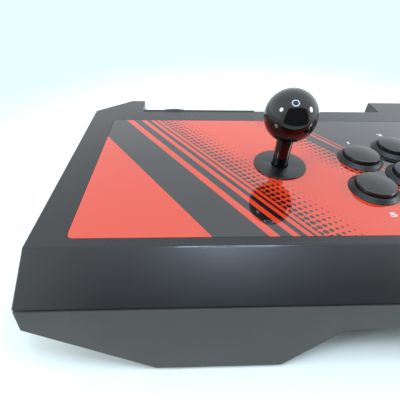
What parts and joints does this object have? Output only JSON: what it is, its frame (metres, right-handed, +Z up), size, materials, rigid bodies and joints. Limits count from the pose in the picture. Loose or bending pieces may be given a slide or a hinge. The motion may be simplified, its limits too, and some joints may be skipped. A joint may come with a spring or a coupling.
{
  "type": "arcade fight stick",
  "caption": "Wide desk-top case with a sloping front edge, a ball-top lever, round push buttons, a small control strip and a cable bay behind a rear door.",
  "frame": {"origin": "centre of the footprint on the table", "axes": "+X to the user's right, +Y away from the user, +Z up"},
  "size_m": [0.43, 0.23, 0.1258],
  "materials": {
    "top_plastic": "fine texture",
    "base_plastic": "fine texture",
    "door_plastic": "fine texture",
    "bay_plastic": "moulded",
    "bottom_steel": "powder coat",
    "foot_rubber": "matt",
    "screw_steel": "zinc plated",
    "plate_steel": "bare",
    "panel_print": "printed under a clear gloss film",
    "pin_steel": "ground",
    "socket_metal": "plated",
    "board_green": "solder mask",
    "lead_rubber": "satin",
    "harness_grey": "satin",
    "harness_red": "satin",
    "switch_plastic": "moulded",
    "strip_gloss": "gloss",
    "lens_clear": "clear",
    "key_plastic": "satin",
    "slide_plastic": "satin",
    "box_plastic": "moulded",
    "white_plastic": "moulded",
    "spring_steel": "wound wire",
    "ball_gloss": "polished",
    "cover_gloss": "polished",
    "actuator_plastic": "moulded",
    "washer_plastic": "satin",
    "rim_plastic": "satin",
    "plunger_plastic": "satin"
  },
  "bodies": {
    "root": {"top_shell": "top_plastic", "base_shell": "base_plastic", "bottom_plate": "bottom_steel", "rubber_feet": "foot_rubber", "case_screws": "screw_steel", "plate_screws": "screw_steel", "control_plate": "plate_steel", "panel_overlay": "panel_print", "panel_screws": "screw_steel", "cable_bay": "bay_plastic", "door_pins": "pin_steel", "lead_socket": "socket_metal", "main_board": "board_green", "board_screws": "screw_steel", "inner_lead": "lead_rubber", "lever_harness": "harness_grey", "button_harness": "harness_red", "control_harness": "harness_grey", "control_board": "board_green", "key_switches": "switch_plastic", "control_bezel": "strip_gloss", "led_lens": "lens_clear", "lever_mount_plate": "plate_steel", "lever_body": "box_plastic", "pivot_retainer": "white_plastic", "spring_seat": "pin_steel", "switch_board": "board_green", "lever_switches": "switch_plastic", "lever_header": "white_plastic", "gate": "box_plastic", "lever_screws": "screw_steel", "button_housings": "rim_plastic", "button_springs": "spring_steel", "button_switches": "switch_plastic"},
    "lever_gimbal": {"lever_spring": "spring_steel"},
    "lever": {"ball_top": "ball_gloss", "lever_shaft": "pin_steel", "shaft_cover": "cover_gloss", "pivot": "white_plastic", "actuator": "actuator_plastic", "e_clip": "pin_steel"},
    "dust_slide_y": {"lower_dust_washer": "washer_plastic"},
    "dust_slide_x": {"dust_washer": "washer_plastic"},
    "button_1": {"plunger_1": "plunger_plastic"},
    "button_2": {"plunger_2": "plunger_plastic"},
    "button_3": {"plunger_3": "plunger_plastic"},
    "button_4": {"plunger_4": "plunger_plastic"},
    "button_5": {"plunger_5": "plunger_plastic"},
    "button_6": {"plunger_6": "plunger_plastic"},
    "button_7": {"plunger_7": "plunger_plastic"},
    "button_8": {"plunger_8": "plunger_plastic"},
    "touch_pad": {"touch_pad": "key_plastic"},
    "home_button": {"home_button": "key_plastic"},
    "option_button_left": {"option_button_left": "key_plastic"},
    "option_button_right": {"option_button_right": "key_plastic"},
    "turbo_button": {"turbo_button": "key_plastic"},
    "lock_switch": {"lock_switch": "slide_plastic"},
    "mode_switch": {"mode_switch": "slide_plastic"},
    "cable_door": {"cable_door": "door_plastic"}
  },
  "joints": [
    {"name": "lever_tilt_x", "type": "hinge", "parent": "root", "child": "lever_gimbal", "pos_m": [-0.0603, -0.002, 0.048], "axis": [1, 0, 0], "range_deg": [-8, 8], "stiffness_Nm_per_rad": 0.8, "deforming": ["lever_spring"]},
    {"name": "lever_tilt_y", "type": "hinge", "parent": "lever_gimbal", "child": "lever", "pos_m": [-0.0603, -0.002, 0.048], "axis": [0, 1, 0], "range_deg": [-8, 8], "stiffness_Nm_per_rad": 0.8, "deforming": ["lever_spring"]},
    {"name": "dust_y", "type": "slide", "parent": "root", "child": "dust_slide_y", "axis": [0, 1, 0], "range_m": [-0.0032, 0.0032]},
    {"name": "dust_x", "type": "slide", "parent": "dust_slide_y", "child": "dust_slide_x", "axis": [1, 0, 0], "range_m": [-0.0032, 0.0032]},
    {"name": "button_1_press", "type": "slide", "parent": "root", "child": "button_1", "axis": [0, 0, -1], "range_m": [0, 0.0025], "stiffness_N_per_m": 150, "springref_m": -0.003, "deforming": ["button_springs"]},
    {"name": "button_2_press", "type": "slide", "parent": "root", "child": "button_2", "axis": [0, 0, -1], "range_m": [0, 0.0025], "stiffness_N_per_m": 150, "springref_m": -0.003, "deforming": ["button_springs"]},
    {"name": "button_3_press", "type": "slide", "parent": "root", "child": "button_3", "axis": [0, 0, -1], "range_m": [0, 0.0025], "stiffness_N_per_m": 150, "springref_m": -0.003, "deforming": ["button_springs"]},
    {"name": "button_4_press", "type": "slide", "parent": "root", "child": "button_4", "axis": [0, 0, -1], "range_m": [0, 0.0025], "stiffness_N_per_m": 150, "springref_m": -0.003, "deforming": ["button_springs"]},
    {"name": "button_5_press", "type": "slide", "parent": "root", "child": "button_5", "axis": [0, 0, -1], "range_m": [0, 0.0025], "stiffness_N_per_m": 150, "springref_m": -0.003, "deforming": ["button_springs"]},
    {"name": "button_6_press", "type": "slide", "parent": "root", "child": "button_6", "axis": [0, 0, -1], "range_m": [0, 0.0025], "stiffness_N_per_m": 150, "springref_m": -0.003, "deforming": ["button_springs"]},
    {"name": "button_7_press", "type": "slide", "parent": "root", "child": "button_7", "axis": [0, 0, -1], "range_m": [0, 0.0025], "stiffness_N_per_m": 150, "springref_m": -0.003, "deforming": ["button_springs"]},
    {"name": "button_8_press", "type": "slide", "parent": "root", "child": "button_8", "axis": [0, 0, -1], "range_m": [0, 0.0025], "stiffness_N_per_m": 150, "springref_m": -0.003, "deforming": ["button_springs"]},
    {"name": "touch_pad_press", "type": "slide", "parent": "root", "child": "touch_pad", "axis": [0, 0, -1], "range_m": [0, 0.0005], "stiffness_N_per_m": 800, "springref_m": -0.0005},
    {"name": "home_button_press", "type": "slide", "parent": "root", "child": "home_button", "axis": [0, 0, -1], "range_m": [0, 0.0005], "stiffness_N_per_m": 800, "springref_m": -0.0005},
    {"name": "option_button_left_press", "type": "slide", "parent": "root", "child": "option_button_left", "axis": [0, 0, -1], "range_m": [0, 0.0005], "stiffness_N_per_m": 800, "springref_m": -0.0005},
    {"name": "option_button_right_press", "type": "slide", "parent": "root", "child": "option_button_right", "axis": [0, 0, -1], "range_m": [0, 0.0005], "stiffness_N_per_m": 800, "springref_m": -0.0005},
    {"name": "turbo_button_press", "type": "slide", "parent": "root", "child": "turbo_button", "axis": [0, 0, -1], "range_m": [0, 0.0005], "stiffness_N_per_m": 800, "springref_m": -0.0005},
    {"name": "lock_switch_slide", "type": "slide", "parent": "root", "child": "lock_switch", "axis": [0, 1, 0], "range_m": [0, 0.003]},
    {"name": "mode_switch_slide", "type": "slide", "parent": "root", "child": "mode_switch", "axis": [0, 1, 0], "range_m": [0, 0.003]},
    {"name": "cable_door_hinge", "type": "hinge", "parent": "root", "child": "cable_door", "pos_m": [-0.1169, 0.0893, 0.021], "axis": [-1, 0, 0], "range_deg": [0, 90]}
  ],
  "couplings": [
    {"joint": "dust_y", "follows": "lever_tilt_x", "m_per_rad": -0.0225},
    {"joint": "dust_x", "follows": "lever_tilt_y", "m_per_rad": 0.0225}
  ]
}
